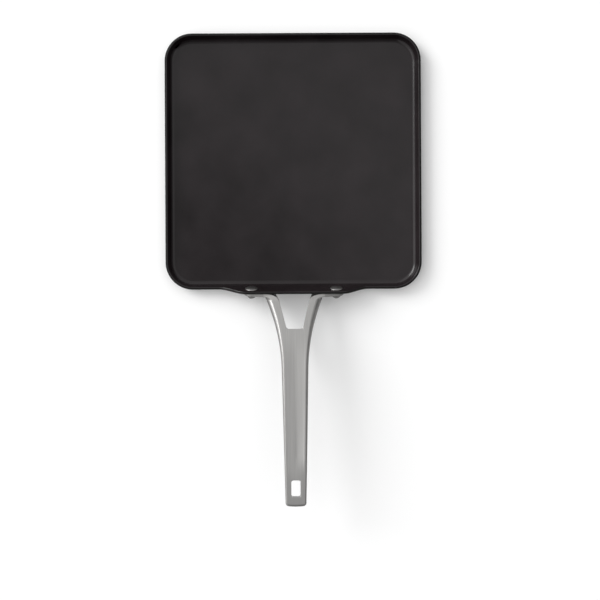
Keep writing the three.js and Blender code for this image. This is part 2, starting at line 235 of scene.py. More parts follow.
def cut(piece: bpy.types.Object, cutters: Sequence[bpy.types.Object]) -> None:
    """Cut holes in a piece and remove the cutters.

    Args:
        piece: The piece, whose mesh is replaced by the cut one.
        cutters: Closed objects of the holes' shape.
    """
    for cutter in cutters:
        hole = piece.modifiers.new("hole", "BOOLEAN")
        hole.operation = "DIFFERENCE"
        hole.solver = "EXACT"
        hole.object = cutter
    bpy.context.view_layer.update()
    seen = piece.evaluated_get(bpy.context.evaluated_depsgraph_get())
    whole, piece_name = piece.data, piece.data.name
    drilled = bpy.data.meshes.new_from_object(seen)
    piece.modifiers.clear()
    piece.data = drilled
    bpy.data.meshes.remove(whole)
    drilled.name = piece_name
    for cutter in cutters:
        shape = cutter.data
        bpy.data.objects.remove(cutter)
        bpy.data.meshes.remove(shape)


class NodeBoard:
    """The nodes of a material or of the sky, with short calls to add and join them."""

    def __init__(self, owner: bpy.types.Material | bpy.types.World) -> None:
        """Start with no nodes.

        Args:
            owner: What the nodes belong to.
        """
        owner.use_nodes = True
        self.tree = owner.node_tree
        self.tree.nodes.clear()

    def node(self, kind: str, inputs: Mapping[str | int, Feed], **choices: str) -> bpy.types.Node:
        """Add a node.

        Args:
            kind: Its type, without the word that all types start with.
            inputs: What its sockets take, by name or number.
            choices: Its other settings.

        Returns:
            The node.
        """
        made = self.tree.nodes.new(f"ShaderNode{kind}")
        for name, choice in choices.items():
            setattr(made, name, choice)
        for key, source in inputs.items():
            socket = made.inputs[key]
            if isinstance(source, bpy.types.NodeSocket):
                self.tree.links.new(source, socket)
            else:
                socket.default_value = (*source, 1.0) if socket.type == "RGBA" else source
        return made

    def spread(
        self, source: bpy.types.NodeSocket, span: Span, onto: Span, **choices: str
    ) -> bpy.types.NodeSocket:
        """Stretch a range of numbers onto another.

        Args:
            source: The numbers.
            span: The low and the high end of their range.
            onto: What these ends become.
            choices: Other settings of the node.

        Returns:
            The stretched numbers.
        """
        ends = zip(("From Min", "From Max", "To Min", "To Max"), (*span, *onto))
        return self.node("MapRange", {"Value": source, **dict(ends)}, **choices).outputs["Result"]

    def sum(
        self, first: bpy.types.NodeSocket, second: bpy.types.NodeSocket
    ) -> bpy.types.NodeSocket:
        """Two varying numbers added."""
        return self.node("Math", {0: first, 1: second}, operation="ADD").outputs["Value"]


class FinishBoard(NodeBoard):
    """The nodes of one finish, which ends in the main shader."""

    BLOTS: Span = (0.3, 0.7)  # nearly all of a noise lies between these

    def __init__(self, name: str) -> None:
        """Start a material of that name."""
        self.material = bpy.data.materials.new(name)
        super().__init__(self.material)
        self.place = self.node("TexCoord", {}).outputs["Object"]

    def noise(
        self, size: float | tuple[float, float, float], detail: float = 2.0, roughness: float = 0.5
    ) -> bpy.types.NodeSocket:
        """A noise in the object's own space.

        Args:
            size: Millimetres of one blot, the same each way or along X, Y and Z.
            detail: How many finer layers it has.
            roughness: How strong those are.

        Returns:
            The noise, about 0 to 1.
        """
        each = size if isinstance(size, tuple) else (size, size, size)
        scale = tuple(1 / (MM * blot) for blot in each)
        place = self.node("Mapping", {"Vector": self.place, "Scale": scale}).outputs["Vector"]
        layers = {"Scale": 1.0, "Detail": detail, "Roughness": roughness}
        return self.node("TexNoise", {"Vector": place, **layers}).outputs["Fac"]

    def flecks(self, spacing: float, share: float) -> bpy.types.NodeSocket:
        """Small bright specks.

        Args:
            spacing: Millimetres between specks.
            share: Part of that spacing that a speck fills.

        Returns:
            1 in the middle of a speck and 0 between them.
        """
        cells = self.node("TexVoronoi", {"Vector": self.place, "Scale": 1 / (MM * spacing)})
        return self.spread(cells.outputs["Distance"], (share, 0.0), (0.0, 1.0))

    def blend(self, share: bpy.types.NodeSocket, dark: Feed, light: Feed) -> bpy.types.NodeSocket:
        """A colour that varies from dark to light with share."""
        colours = {6: dark, 7: light}  # these two of the node's sockets hold colours
        return self.node("Mix", {"Factor": share, **colours}, data_type="RGBA").outputs[2]

    def bump(
        self, height: bpy.types.NodeSocket, depth: float, strength: float
    ) -> bpy.types.NodeSocket:
        """The surface raised a little.

        Args:
            height: The relief, 0 to 1.
            depth: Millimetres between its lows and highs.
            strength: How much of it shows.

        Returns:
            The way that the raised surface faces.
        """
        relief = {"Height": height, "Distance": depth * MM, "Strength": strength}
        return self.node("Bump", relief).outputs["Normal"]

    def finish(self, inputs: Mapping[str, Feed]) -> bpy.types.Material:
        """End in the main shader.

        Args:
            inputs: What its sockets take.

        Returns:
            The material.
        """
        shader = self.node("BsdfPrincipled", inputs)
        self.node("OutputMaterial", {"Surface": shader.outputs["BSDF"]})
        return self.material


@dataclass(frozen=True)
class NonStickCoat:
    """The smooth charcoal film on the cooking face: sprayed, faintly clouded, with fine mica flecks."""

    name: str = "non_stick_coat"
    dark: Colour = (0.0046, 0.0026, 0.0032)
    light: Colour = (0.0115, 0.0082, 0.0093)
    fleck: Colour = (0.04, 0.037, 0.037)
    cloud: float = 48.0
    cloud_detail: float = 3.0
    spray: float = 0.7
    spray_roughness: float = 0.6
    spray_blots: Span = (0.2, 0.8)
    fleck_spacing: float = 1.6
    fleck_share: float = 0.11
    gloss: Span = (0.18, 0.22)
    grit: float = 0.03  # how far the spray moves the gloss each way
    ior: float = 1.5
    shine: float = 0.36
    relief: float = 0.03
    relief_shown: float = 0.35

    def material(self) -> bpy.types.Material:
        """Make the material.

        Returns:
            The material.
        """
        board = FinishBoard(self.name)
        cloud = board.noise(self.cloud, self.cloud_detail)
        spray = board.noise(self.spray, roughness=self.spray_roughness)
        film = board.blend(board.spread(cloud, board.BLOTS, (0.0, 1.0)), self.dark, self.light)
        flecks = board.flecks(self.fleck_spacing, self.fleck_share)
        grit = board.spread(spray, self.spray_blots, (-self.grit, self.grit))
        return board.finish({
            "Base Color": board.blend(flecks, film, self.fleck),
            "Roughness": board.sum(board.spread(cloud, board.BLOTS, self.gloss), grit),
            "IOR": self.ior,
            "Specular IOR Level": self.shine,
            "Normal": board.bump(spray, self.relief, self.relief_shown),
        })


@dataclass(frozen=True)
class GrainedFinish:
    """A finish with soft clouds and a fine even grain."""

    name: str
    dark: Colour
    light: Colour
    gloss: Span
    cloud: float
    cloud_detail: float
    cloud_share: float  # part of the tone that the clouds make, and the grain makes the rest
    grain: float
    relief: float
    metallic: float
    grain_roughness: float = 0.6
    relief_shown: float = 0.4
    ior: float = 1.5
    shine: float = 0.5

    def material(self) -> bpy.types.Material:
        """Make the material.

        Returns:
            The material.
        """
        board = FinishBoard(self.name)
        cloud = board.noise(self.cloud, self.cloud_detail)
        grain = board.noise(self.grain, roughness=self.grain_roughness)
        tone = board.sum(
            board.spread(cloud, board.BLOTS, (0.0, self.cloud_share)),
            board.spread(grain, board.BLOTS, (0.0, 1 - self.cloud_share)),
        )
        return board.finish({
            "Base Color": board.blend(tone, self.dark, self.light),
            "Roughness": board.spread(cloud, board.BLOTS, self.gloss),
            "Metallic": self.metallic,
            "IOR": self.ior,
            "Specular IOR Level": self.shine,
            "Normal": board.bump(grain, self.relief, self.relief_shown),
        })


@dataclass(frozen=True)
class AnodisedSkin(GrainedFinish):
    """The hard-anodised outside of the tray: matt, grey-black, with the fine grain of the pressed plate."""

    name: str = "anodised_skin"
    dark: Colour = (0.006, 0.006, 0.006)
    light: Colour = (0.0095, 0.0094, 0.0094)
    gloss: Span = (0.55, 0.65)
    cloud: float = 26.0
    cloud_detail: float = 4.0
    cloud_share: float = 0.7
    grain: float = 0.35
    relief: float = 0.02
    metallic: float = 0.0
    shine: float = 0.15


@dataclass(frozen=True)
class SatinSteel(GrainedFinish):
    """Steel with a fine even grain, as a casting or a rivet comes out of its tumbling."""

    name: str = "satin_steel"
    dark: Colour = (0.3, 0.296, 0.291)
    light: Colour = (0.38, 0.375, 0.369)
    gloss: Span = (0.34, 0.44)
    cloud: float = 9.0
    cloud_detail: float = 3.0
    cloud_share: float = 0.6
    grain: float = 0.3
    relief: float = 0.01
    metallic: float = 1.0


@dataclass(frozen=True)
class BrushedSteel:
    """Steel brushed along the handle: long fine scratches that spread a highlight across it."""

    GRAIN_MAP = "grain"

    name: str = "brushed_steel"
    dark: Colour = (0.317, 0.312, 0.306)
    light: Colour = (0.395, 0.39, 0.383)
    scratch: tuple[float, float, float] = (0.16, 26.0, 26.0)
    scratch_detail: float = 3.0
    scratch_roughness: float = 0.6
    scratch_blots: Span = (0.25, 0.75)
    scratch_share: float = 0.55  # part of the tone that the scratches make, and streaks make the rest
    streak: tuple[float, float, float] = (1.1, 70.0, 70.0)
    gloss: Span = (0.38, 0.28)
    stretch: float = 0.25
    relief: float = 0.012
    relief_shown: float = 0.5

    def material(self) -> bpy.types.Material:
        """Make the material.

        Returns:
            The material.
        """
        board = FinishBoard(self.name)
        scratch = board.noise(self.scratch, self.scratch_detail, self.scratch_roughness)
        streak = board.noise(self.streak)
        tone = board.sum(
            board.spread(scratch, self.scratch_blots, (0.0, self.scratch_share)),
            board.spread(streak, board.BLOTS, (0.0, 1 - self.scratch_share)),
        )
        grain = board.node("Tangent", {}, direction_type="UV_MAP", uv_map=self.GRAIN_MAP)
        return board.finish({
            "Base Color": board.blend(tone, self.dark, self.light),
            "Roughness": board.spread(tone, (0.0, 1.0), self.gloss),
            "Metallic": 1.0,
            "Anisotropic": self.stretch,
            "Tangent": grain.outputs["Tangent"],
            "Normal": board.bump(scratch, self.relief, self.relief_shown),
        })


@dataclass(frozen=True)
class PadFace:
    """The outer face of the pad that the handle sits on, with its origin between the rivets."""

    reach: float
    height: float
    lean: float

    def place(self, across: float, up: float, out: float) -> Vector:
        """A point across, up the face and out of it."""
        reach = self.reach + up * math.sin(self.lean) + out * math.cos(self.lean)
        return Vector((across, -reach, self.height + up * math.cos(self.lean) - out * math.sin(self.lean)))

    def locate(self, point: Vector) -> tuple[float, float, float]:
        """How far a point is across, up the face and out of it.

        Args:
            point: The point.

        Returns:
            The three distances.
        """
        reach, rise = -point.y - self.reach, point.z - self.height
        up = reach * math.sin(self.lean) + rise * math.cos(self.lean)
        return point.x, up, reach * math.cos(self.lean) - rise * math.sin(self.lean)

    def turned(
        self,
        skin: Skin,
        profile: Sequence[tuple[float, float]],
        across: float,
        sides: int,
        kind: Enum,
    ) -> None:
        """Add a form turned about a line out of the face.

        Args:
            skin: The mesh that takes it.
            profile: Its radius and how far out, from end to end.
            across: Where the line stands.
            sides: How many facets it has all round.
            kind: What its faces are.
        """
        turns = steps(0, 2 * math.pi, sides)
        rows = [
            skin.add([self.place(across + r * math.cos(t), r * math.sin(t), out) for t in turns])
            for r, out in profile
        ]
        for row, following in zip(rows, rows[1:]):
            skin.strip(row, following, kind)


@dataclass(frozen=True)
class GriddleBody:
    """The tray: one pressed plate with low flared walls and a raised pad on the wall at the handle."""

    width: float = 279.93  # a hair under the plain solid, whose round corners have facets
    corner_radius: float = 30.0
    gauge: float = 3.0
    rim_height: float = 12.5
    wall_lean: float = math.radians(20)
    floor_fillet: float = 5.0
    rim_edge_radius: float = 0.8
    pad_width: float = 134.0
    pad_shoulder: float = 29.0
    pad_height: float = 27.5
    rivet_spacing: float = 92.2
    rivet_drop: float = 11.7
    hole_radius: float = 3.3
    drill_reach: float = 12.0  # well past both faces
    sharp_from: float = math.radians(40)
    corner_steps: int = 24
    side_steps: int = 12
    shoulder_steps: int = 26
    pad_steps: int = 16
    fillet_steps: int = 12
    edge_steps: int = 6
    wall_steps: int = 5
    hole_steps: int = 40
    floor_shares: tuple[float, ...] = (0.998, 0.99, 0.95, 0.85, 0.68, 0.5, 0.32, 0.14)

    @property
    def core(self) -> float:
        """Distance of the corner centres from the pan's centre lines."""
        return self.width / 2 - self.corner_radius

    @property
    def rim_flat(self) -> float:
        """Width of the rim between its two rounded edges."""
        return self.gauge - 2 * self.rim_edge_radius

    def outer_wall(self, z: float) -> float:
        """Distance of the wall's outer face from the centre line at a height.

        Args:
            z: The height.

        Returns:
            The distance, on the straight face or in line with it.
        """
        lean = self.wall_lean
        rounded = self.rim_edge_radius * (math.tan(lean) + 1 / math.cos(lean) - 1)
        lost = rounded + self.rim_flat * math.sin(lean) * math.tan(lean)
        return self.width / 2 + lost + (z - self.rim_height) * math.tan(lean)

    def inner_wall(self, z: float) -> float:
        """Distance of the wall's inner face from the centre line at a height."""
        return self.outer_wall(z) - self.gauge / math.cos(self.wall_lean)

    def pad_face(self) -> PadFace:
        """The pad's outer face."""
        height = self.pad_height - self.rivet_drop * math.cos(self.wall_lean)
        return PadFace(self.outer_wall(height), height, self.wall_lean)

    def rim_at(self, across: float) -> float:
        """Height of the rim along the wall with the pad."""
        inside = (self.pad_width + self.pad_shoulder) / 2 - abs(across)
        return lerp(self.rim_height, self.pad_height, smoothstep(inside, 0, self.pad_shoulder))

    def stations(self) -> list[tuple[float, float, float, float]]:
        """Places round the plan.

        Returns:
            For each, x and y on the square of corner centres, the angle at which the wall stands off
            from it and the height of the rim there.
        """
        core, pad_end = self.core, (self.pad_width + self.pad_shoulder) / 2
        places = []
        for corner in range(4):
            x = core if corner in (0, 3) else -core
            y = core if corner < 2 else -core
            start = corner * math.pi / 2
            turns = steps(start, start + math.pi / 2, self.corner_steps)
            places += [(x, y, turn, self.rim_height) for turn in turns]
            if corner == 2:
                level = pad_end - self.pad_shoulder
                across = steps(-pad_end, -level, self.shoulder_steps)
                across += steps(-level, level, self.pad_steps)[1:-1]
                across += steps(level, pad_end, self.shoulder_steps)
                places += [(a, y, turns[-1], self.rim_at(a)) for a in across]
                continue
            along = Vector((-math.sin(turns[-1]), math.cos(turns[-1])))
            for run in steps(0, 2 * core, self.side_steps)[1:-1]:
                places.append((x + along.x * run, y + along.y * run, turns[-1], self.rim_height))
        return places

    def section(self, rim: float) -> list[tuple[float, float]]:
        """Section of the plate under a rim of that height.

        Args:
            rim: Height of the rim.

        Returns:
            Distance from the centre line and height of points from the base, up the outside, over the
            rim and down the inside to the floor.
        """
        lean, radius = self.wall_lean, self.rim_edge_radius
        centre_z = self.gauge + self.floor_fillet
        outer = self.floor_fillet + self.gauge
        turn_end = math.pi / 2 - lean
        floor_end = self.outer_wall(centre_z - outer * math.sin(lean)) - outer * math.cos(lean)
        edge_z = rim - radius
        inner_edge = self.inner_wall(edge_z) + radius / math.cos(lean)
        outer_edge = inner_edge + self.rim_flat * math.cos(lean)

        def fillet(bend: float, first: float, last: float) -> list[tuple[float, float]]:
            """The round between the floor and the wall."""
            turns = steps(first, last, self.fillet_steps)
            return [(floor_end + bend * math.sin(t), centre_z - bend * math.cos(t)) for t in turns]

        def edge(distance: float, z: float, first: float) -> list[tuple[float, float]]:
            """One rounded edge of the rim, which is cut square to the wall."""
            turns = steps(first, first + math.pi / 2, self.edge_steps)
            return [(distance + radius * math.cos(t), z + radius * math.sin(t)) for t in turns]

        def wall(low: tuple[float, float], high: tuple[float, float]) -> list[tuple[float, float]]:
            """Points of a straight wall between its ends."""
            shares = steps(0, 1, self.wall_steps)[1:-1]
            return [(lerp(low[0], high[0], s), lerp(low[1], high[1], s)) for s in shares]

        up = fillet(outer, 0, turn_end)
        over = edge(outer_edge, edge_z - self.rim_flat * math.sin(lean), -lean)
        over += edge(inner_edge, edge_z, turn_end)
        down = fillet(self.floor_fillet, turn_end, 0)
        return [*up, *wall(up[-1], over[0]), *over, *wall(over[-1], down[0]), *down]

    def drill(self, side: Side) -> bpy.types.Object:
        """A cutter for a rivet's hole through the pad and the ear on it.

        Args:
            side: Which rivet.

        Returns:
            The cutter, in the scene.
        """
        skin = Skin()
        radius, depth = self.hole_radius, self.drill_reach
        profile = [(0, -depth), (radius, -depth), (radius, depth), (0, depth)]
        across = side.value * self.rivet_spacing / 2
        self.pad_face().turned(skin, profile, across, self.hole_steps, HandleFace.TOP)
        return skin.piece(f"drill_{side.name.lower()}", [])

    def build(self, inside: bpy.types.Material, outside: bpy.types.Material) -> bpy.types.Object:
        """Make the tray.

        Args:
            inside: Finish of the cooking face, up to the middle of the rim.
            outside: Finish of the rest.

        Returns:
            The tray, in place of its plain solid.
        """
        skin = Skin()
        columns = []
        for x, y, angle, rim in self.stations():
            stands = [(distance - self.core, z) for distance, z in self.section(rim)]
            way = Vector((math.cos(angle), math.sin(angle), 0))
            columns.append([Vector((x, y, z)) + way * stand for stand, z in stands])
        rings = [skin.add(ring) for ring in zip(*columns)]
        middle = len(rings) // 2
        for i, (ring, following) in enumerate(zip(rings, rings[1:])):
            kind = TrayFace.OUTSIDE if i < middle else TrayFace.INSIDE
            skin.strip([*ring, ring[0]], [*following, following[0]], kind)
        for ring, kind in ((rings[0], TrayFace.OUTSIDE), (rings[-1], TrayFace.INSIDE)):
            self.fill(skin, ring, kind)
        tray = skin.piece("tray", [inside, outside])
        cut(tray, [self.drill(side) for side in Side])
        weigh_normals(tray, self.sharp_from)
        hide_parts("griddle_body")
        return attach(tray, BODY)

    def fill(self, skin: Skin, ring: Sequence[int], kind: TrayFace) -> None:
        """Close a level ring with smaller rings and a middle point.

        Args:
            skin: The mesh that takes the faces.
            ring: The ring's points.
            kind: What the faces are.
        """
        row = [*ring, ring[0]]
        for share in self.floor_shares:
            places = [skin.points[number] for number in ring]
            inner = skin.add([Vector((p.x * share, p.y * share, p.z)) for p in places])
            skin.strip(row, [*inner, inner[0]], kind)
            row = [*inner, inner[0]]
        hub = skin.add([Vector((0, 0, skin.points[ring[0]].z))])[0]
        for a, b in zip(row, row[1:]):
            skin.face((a, b, hub), kind)


@dataclass(frozen=True)
class HandleLine:
    """The handle's top seen from the side: a straight rise, a bend and a slow arch."""

    reach: float
    height: float
    rise_angle: float = math.radians(28)
    rise_length: float = 18.0
    bend_radius: float = 192.0
    grip_angle: float = math.radians(9.5)
    arch_radius: float = 1040.0

    @property
    def bend_start(self) -> tuple[float, float]:
        """Reach and height where the rise turns into the bend."""
        return (
            self.reach + self.rise_length * math.cos(self.rise_angle),
            self.height + self.rise_length * math.sin(self.rise_angle),
        )

    @property
    def arch_start(self) -> tuple[float, float]:
        """Reach and height where the bend turns into the arch."""
        reach, height = self.bend_start
        return (
            reach + self.bend_radius * (math.sin(self.rise_angle) - math.sin(self.grip_angle)),
            height + self.bend_radius * (math.cos(self.grip_angle) - math.cos(self.rise_angle)),
        )

    def at(self, reach: float) -> tuple[float, float]:
        """Height and slope of the line at a reach.

        Args:
            reach: The reach.

        Returns:
            The height, and the angle at which the line rises there.
        """
        if reach <= self.bend_start[0]:
            return self.height + (reach - self.reach) * math.tan(self.rise_angle), self.rise_angle
        on_bend = reach <= self.arch_start[0]
        start, height = self.bend_start if on_bend else self.arch_start
        first = self.rise_angle if on_bend else self.grip_angle
        radius = self.bend_radius if on_bend else self.arch_radius
        slope = math.asin(math.sin(first) - (reach - start) / radius)
        return height + radius * (math.cos(slope) - math.cos(first)), slope

    def place(self, across: float, reach: float, up: float) -> Vector:
        """A point across, at a reach along the line, and up square to it."""
        height, slope = self.at(reach)
        return Vector((across, -(reach - up * math.sin(slope)), height + up * math.cos(slope)))


@dataclass(frozen=True)
class Arc:
    """A stretch of a rounded section, over which its surface tilts from one angle to another."""

    radius: float
    start: float
    end: float

    def width(self, tilt: float) -> float:
        """How far out the stretch has gone at a tilt."""
        return self.radius * (math.sin(tilt) - math.sin(self.start))

    def drop(self, tilt: float) -> float:
        """How far down the stretch has gone at a tilt."""
        return self.radius * (math.cos(self.start) - math.cos(tilt))


@dataclass(frozen=True)
class Row:
    """A row of the handle's points: its reach, how that changes with height, and the turn of the tip."""

    reach: float
    lean: float = 0.0
    tip_turn: float = 0.0


@dataclass
class Slice:
    """One slice through the right half of the handle, as numbers of points.

    The top and underside run from the outer edge towards the middle, the side from the top down, and
    each wall down from a column of the top that borders an opening.
    """

    top: list[int]
    side: list[int]
    under: list[int]
    walls: dict[int, list[int]] = field(default_factory=dict)


@dataclass(frozen=True)
class ForkedHandle:
    """The cast handle: two ears on the pad, two arms, a bend, a dished grip and a hanging slot."""

    body: GriddleBody
    ear_back: float = 0.1
    ear_front: float = 3.8
    ear_end_radius: float = 8.2
    ear_root_height: float = 20.4
    ear_edge_radius: float = 0.8
    arm_top_over_rivet: float = 9.35  # a hair under the plain solid, whose arch has facets
    arm_fillet: float = 3.0
    heel_pull: float = 5.0
    heel_reach: float = 9.0
    reach_from_rim: float = 228.3
    grip_width: float = 28.3
    tip_width: float = 21.8
    fork_width: float = 60.4
    flare_length: float = 75.2
    gap_mouth: float = 34.2
    gap_root: float = 17.0
    gap_depth: float = 33.8
    gap_corner_radius: float = 2.5
    tip_corner_radius: float = 2.8
    tip_crown: float = 1.0
    end_face_radius: float = 1.6
    slot_width: float = 9.7
    slot_length: float = 17.1
    slot_to_tip: float = 10.4
    slot_corner_radius: float = 2.0
    arm_thickness: float = 8.0
    grip_thickness: float = 9.0
    tip_thickness: float = 7.5
    side_depths: tuple[float, float, float] = (4.6, 2.5, 1.8)  # at the arms, the grip and the tip
    arm_side_lean: float = math.radians(30)
    tip_side_lean: float = math.radians(15)
    edge_radii: tuple[float, float, float] = (4.4, 1.6, 0.9)
    chamfer_widths: tuple[float, float, float] = (1.0, 1.0, 0.7)
    chamfer_tilts: Span = (math.radians(39), math.radians(45))
    chamfer_foot: float = 1.0
    rail_width: float = 1.1
    dish_depths: Span = (0.75, 1.7)  # at the root of the fork and at the tip
    dish_fade_in: float = 45.0
    dish_fade_out: float = 30.0
    dish_to_tip: float = 25.0
    dish_valley: float = 0.9  # part of the dish that is a valley, and its banks are the rest
    dish_root: float = 0.15  # how blunt the root of the valley is
    bank_power: int = 10
    belly_width: float = 6.0
    belly_crown: float = 0.8
    opening_edge_radius: float = 0.25
    corner_fade: Span = (1.2, 3.0)  # the round of a corner fades out at these distances from it
    rise_powers: Span = (2.4, 1.5)  # of the rise from an ear's upper and lower edge to the arm's
    sharp_from: float = math.radians(40)
    rail_offsets: tuple[float, ...] = (0.0, 0.55, 1.1, 1.25, 1.5, 1.9)
    field_shares: tuple[float, ...] = (0.2, 0.4, 0.6, 0.8)
    edge_offsets: tuple[float, ...] = (1.1, 0.7, 0.4, 0.2, 0.08, 0.0)
    corner_shares: tuple[float, ...] = (0.2, 0.4, 0.6, 0.8, 1.0)
    middle_shares: tuple[float, ...] = (0.66, 0.33, 0.0)
    arc_steps: tuple[int, ...] = (4, 3, 2)
    draft_steps: int = 3
    wall_steps: int = 4
    ear_steps: int = 6
    ear_end_steps: int = 12
    bend_steps: int = 12
    rise_steps: int = 8
    crook_steps: int = 6
    shoulder_steps: int = 16
    grip_steps: int = 44
    slot_steps: int = 5
    tip_steps: int = 6
    tip_turn_steps: int = 10

    @property
    def pad(self) -> PadFace:
        """The face that the ears sit on."""
        return self.body.pad_face()

    @property
    def line(self) -> HandleLine:
        """The handle's top line, from the front of the ears."""
        start = self.pad.place(0, self.arm_top_over_rivet, self.ear_front)
        return HandleLine(-start.y, start.z)

    @property
    def tip_reach(self) -> float:
        """Reach of the handle's end."""
        return self.body.width / 2 + self.reach_from_rim

    @property
    def root_reach(self) -> float:
        """Reach of the root of the fork."""
        return self.line.reach + self.gap_depth

    @property
    def slot_ends(self) -> tuple[float, float]:
        """Reach of the slot's near and far end."""
        far = self.tip_reach - self.slot_to_tip
        return far - self.slot_length, far

    def half_width(self, reach: float) -> float:
        """Half the handle's width at its widest line.

        Args:
            reach: Where along the handle.

        Returns:
            Half the width there.
        """
        flare_end = self.line.reach + self.flare_length

        def taper(place: float) -> float:
            """Half the width of the slow taper alone."""
            share = (place - flare_end) / (self.tip_reach - flare_end)
            return lerp(self.grip_width, self.tip_width, share) / 2

        flare = max(0.0, (flare_end - reach) / self.flare_length) ** 2
        return taper(reach) + flare * (self.fork_width / 2 - taper(self.line.reach))

    def along(self, reach: float, arm: float, grip: float, tip: float) -> float:
        """A size of the section that changes from the arms to the grip, and on to the tip.

        Args:
            reach: Where along the handle.
            arm: The size at the start of the arms.
            grip: At the end of the flare.
            tip: At the tip.

        Returns:
            The size there.
        """
        flare_end = self.line.reach + self.flare_length
        wide = lerp(arm, grip, smoothstep(reach, self.line.reach, flare_end))
        return lerp(wide, tip, smoothstep(reach, flare_end, self.tip_reach))

    def thickness(self, reach: float) -> float:
        """Thickness of the handle at a reach."""
        return self.along(reach, self.arm_thickness, self.grip_thickness, self.tip_thickness)

    @property
    def edge_steps(self) -> int:
        """Facets of the edges over and under the sides."""
        return sum(self.arc_steps)

    def side_depth(self, reach: float) -> float:
        """Depth of the widest line under the top."""
        return self.along(reach, *self.side_depths)

    def side_lean(self, reach: float) -> float:
        """Lean of the sides from the vertical."""
        share = (reach - self.line.reach) / (self.tip_reach - self.line.reach)
        return lerp(self.arm_side_lean, self.tip_side_lean, min(max(share, 0.0), 1.0))

    def edge(self, reach: float) -> list[Arc]:
        """The edge between the top and the leaning side: a soft chamfer.

        Args:
            reach: Where along the handle.

        Returns:
            Its stretches, from the top outwards.
        """
        high, low = self.chamfer_tilts
        width = self.along(reach, *self.chamfer_widths)
        return [
            Arc(self.along(reach, *self.edge_radii), 0.0, high),
            Arc(width / (math.sin(low) - math.sin(high)), high, low),
            Arc(self.chamfer_foot, low, math.pi / 2 - self.side_lean(reach)),
        ]

    def edge_inset(self, reach: float) -> float:
        """Distance of the top's outer edge from the widest line.

        Args:
            reach: Where along the handle.

        Returns:
            The distance there.
        """
        arcs = self.edge(reach)
        side = self.side_depth(reach) - sum(arc.drop(arc.end) for arc in arcs)
        return sum(arc.width(arc.end) for arc in arcs) + side * math.tan(self.side_lean(reach))

    def border(self, reach: float) -> float:
        """Half the width of the fork's gap or of the slot, and of the line that joins them.

        Args:
            reach: Where along the handle.

        Returns:
            Half the width there.
        """
        near, _ = self.slot_ends
        if reach <= self.root_reach:
            slant = (self.gap_mouth - self.gap_root) / 2 / self.gap_depth
            return self.gap_root / 2 + slant * (self.root_reach - reach)
        share = min((reach - self.root_reach) / (near - self.root_reach), 1.0)
        return lerp(self.gap_root, self.slot_width, share) / 2

    def corner_radius(self, reach: float) -> float:
        """Radius of the corners of the nearer opening.

        Args:
            reach: Where along the handle.

        Returns:
            The radius, which changes over between the two.
        """
        near, _ = self.slot_ends
        share = smoothstep(reach, self.root_reach, near)
        return lerp(self.gap_corner_radius, self.slot_corner_radius, share)

    def margin(self, across: float, reach: float) -> float:
        """Distance from the edge of the fork's gap or of the slot, whichever is nearer.

        Args:
            across: Where across the handle.
            reach: Where along the handle.

        Returns:
            The distance, negative inside an opening.
        """
        near, far = self.slot_ends
        beside = across - self.border(reach)
        return min(max(beside, reach - self.root_reach), max(beside, near - reach, reach - far))

    def top_height(self, across: float, reach: float) -> float:
        """Height of the top over the top line: the dish, its rails and the rounded openings.

        Args:
            across: Where across the handle.
            reach: Where along the handle.

        Returns:
            The height, which is 0 or less.
        """
        fade_in = smoothstep(reach, self.root_reach, self.root_reach + self.dish_fade_in)
        dish_end = self.tip_reach - self.dish_to_tip
        fade_out = 1 - smoothstep(reach, dish_end - self.dish_fade_out, dish_end)
        share = min(across / (self.half_width(reach) - self.edge_inset(reach) - self.rail_width), 1.0)
        blunt = self.dish_root
        slope = (math.hypot(share, blunt) - blunt) / (math.hypot(1, blunt) - blunt)
        hollow = lerp(1 - share**self.bank_power, 1 - slope, self.dish_valley)
        fall = rounding(self.margin(across, reach), self.opening_edge_radius)
        depth = lerp(*self.dish_depths, (reach - self.root_reach) / (self.tip_reach - self.root_reach))
        return -depth * fade_in * fade_out * hollow - fall

    def under_height(self, across: float, reach: float) -> float:
        """Height of the underside over the top line: a low crown with round corners.

        Args:
            across: Where across the handle.
            reach: Where along the handle.

        Returns:
            The height, which is negative.
        """
        half, thick = self.half_width(reach), self.thickness(reach)
        fall = rounding(self.margin(across, reach), self.opening_edge_radius)
        inset = half - across
        if inset >= self.belly_width:
            share = across / (half - self.belly_width)
            return -thick + self.belly_crown * share**2 + fall
        turn = math.acos(1 - inset / self.belly_width)
        side = self.side_depth(reach)
        return -side - (thick - side - self.belly_crown) * math.sin(turn) + fall

    def columns(self, reach: float) -> list[float]:
        """Places across the right half, from the top's outer edge to the middle.

        Args:
            reach: Where along the handle.

        Returns:
            The places, as many for every reach.
        """
        half, border = self.half_width(reach), self.border(reach)
        radius = self.corner_radius(reach)
        rim = half - self.edge_inset(reach)
        outer, inner = rim - self.rail_offsets[-1], border + self.edge_offsets[0]
        return [
            *(rim - offset for offset in self.rail_offsets),
            *(lerp(outer, inner, share) for share in self.field_shares),
            *(border + offset for offset in self.edge_offsets),
            *(border - radius * share for share in self.corner_shares),
            *((border - radius) * share for share in self.middle_shares),
        ]

    @property
    def border_column(self) -> int:
        """Number of the column that runs along the gap and the slot."""
        return len(self.rail_offsets) + len(self.field_shares) + len(self.edge_offsets) - 1

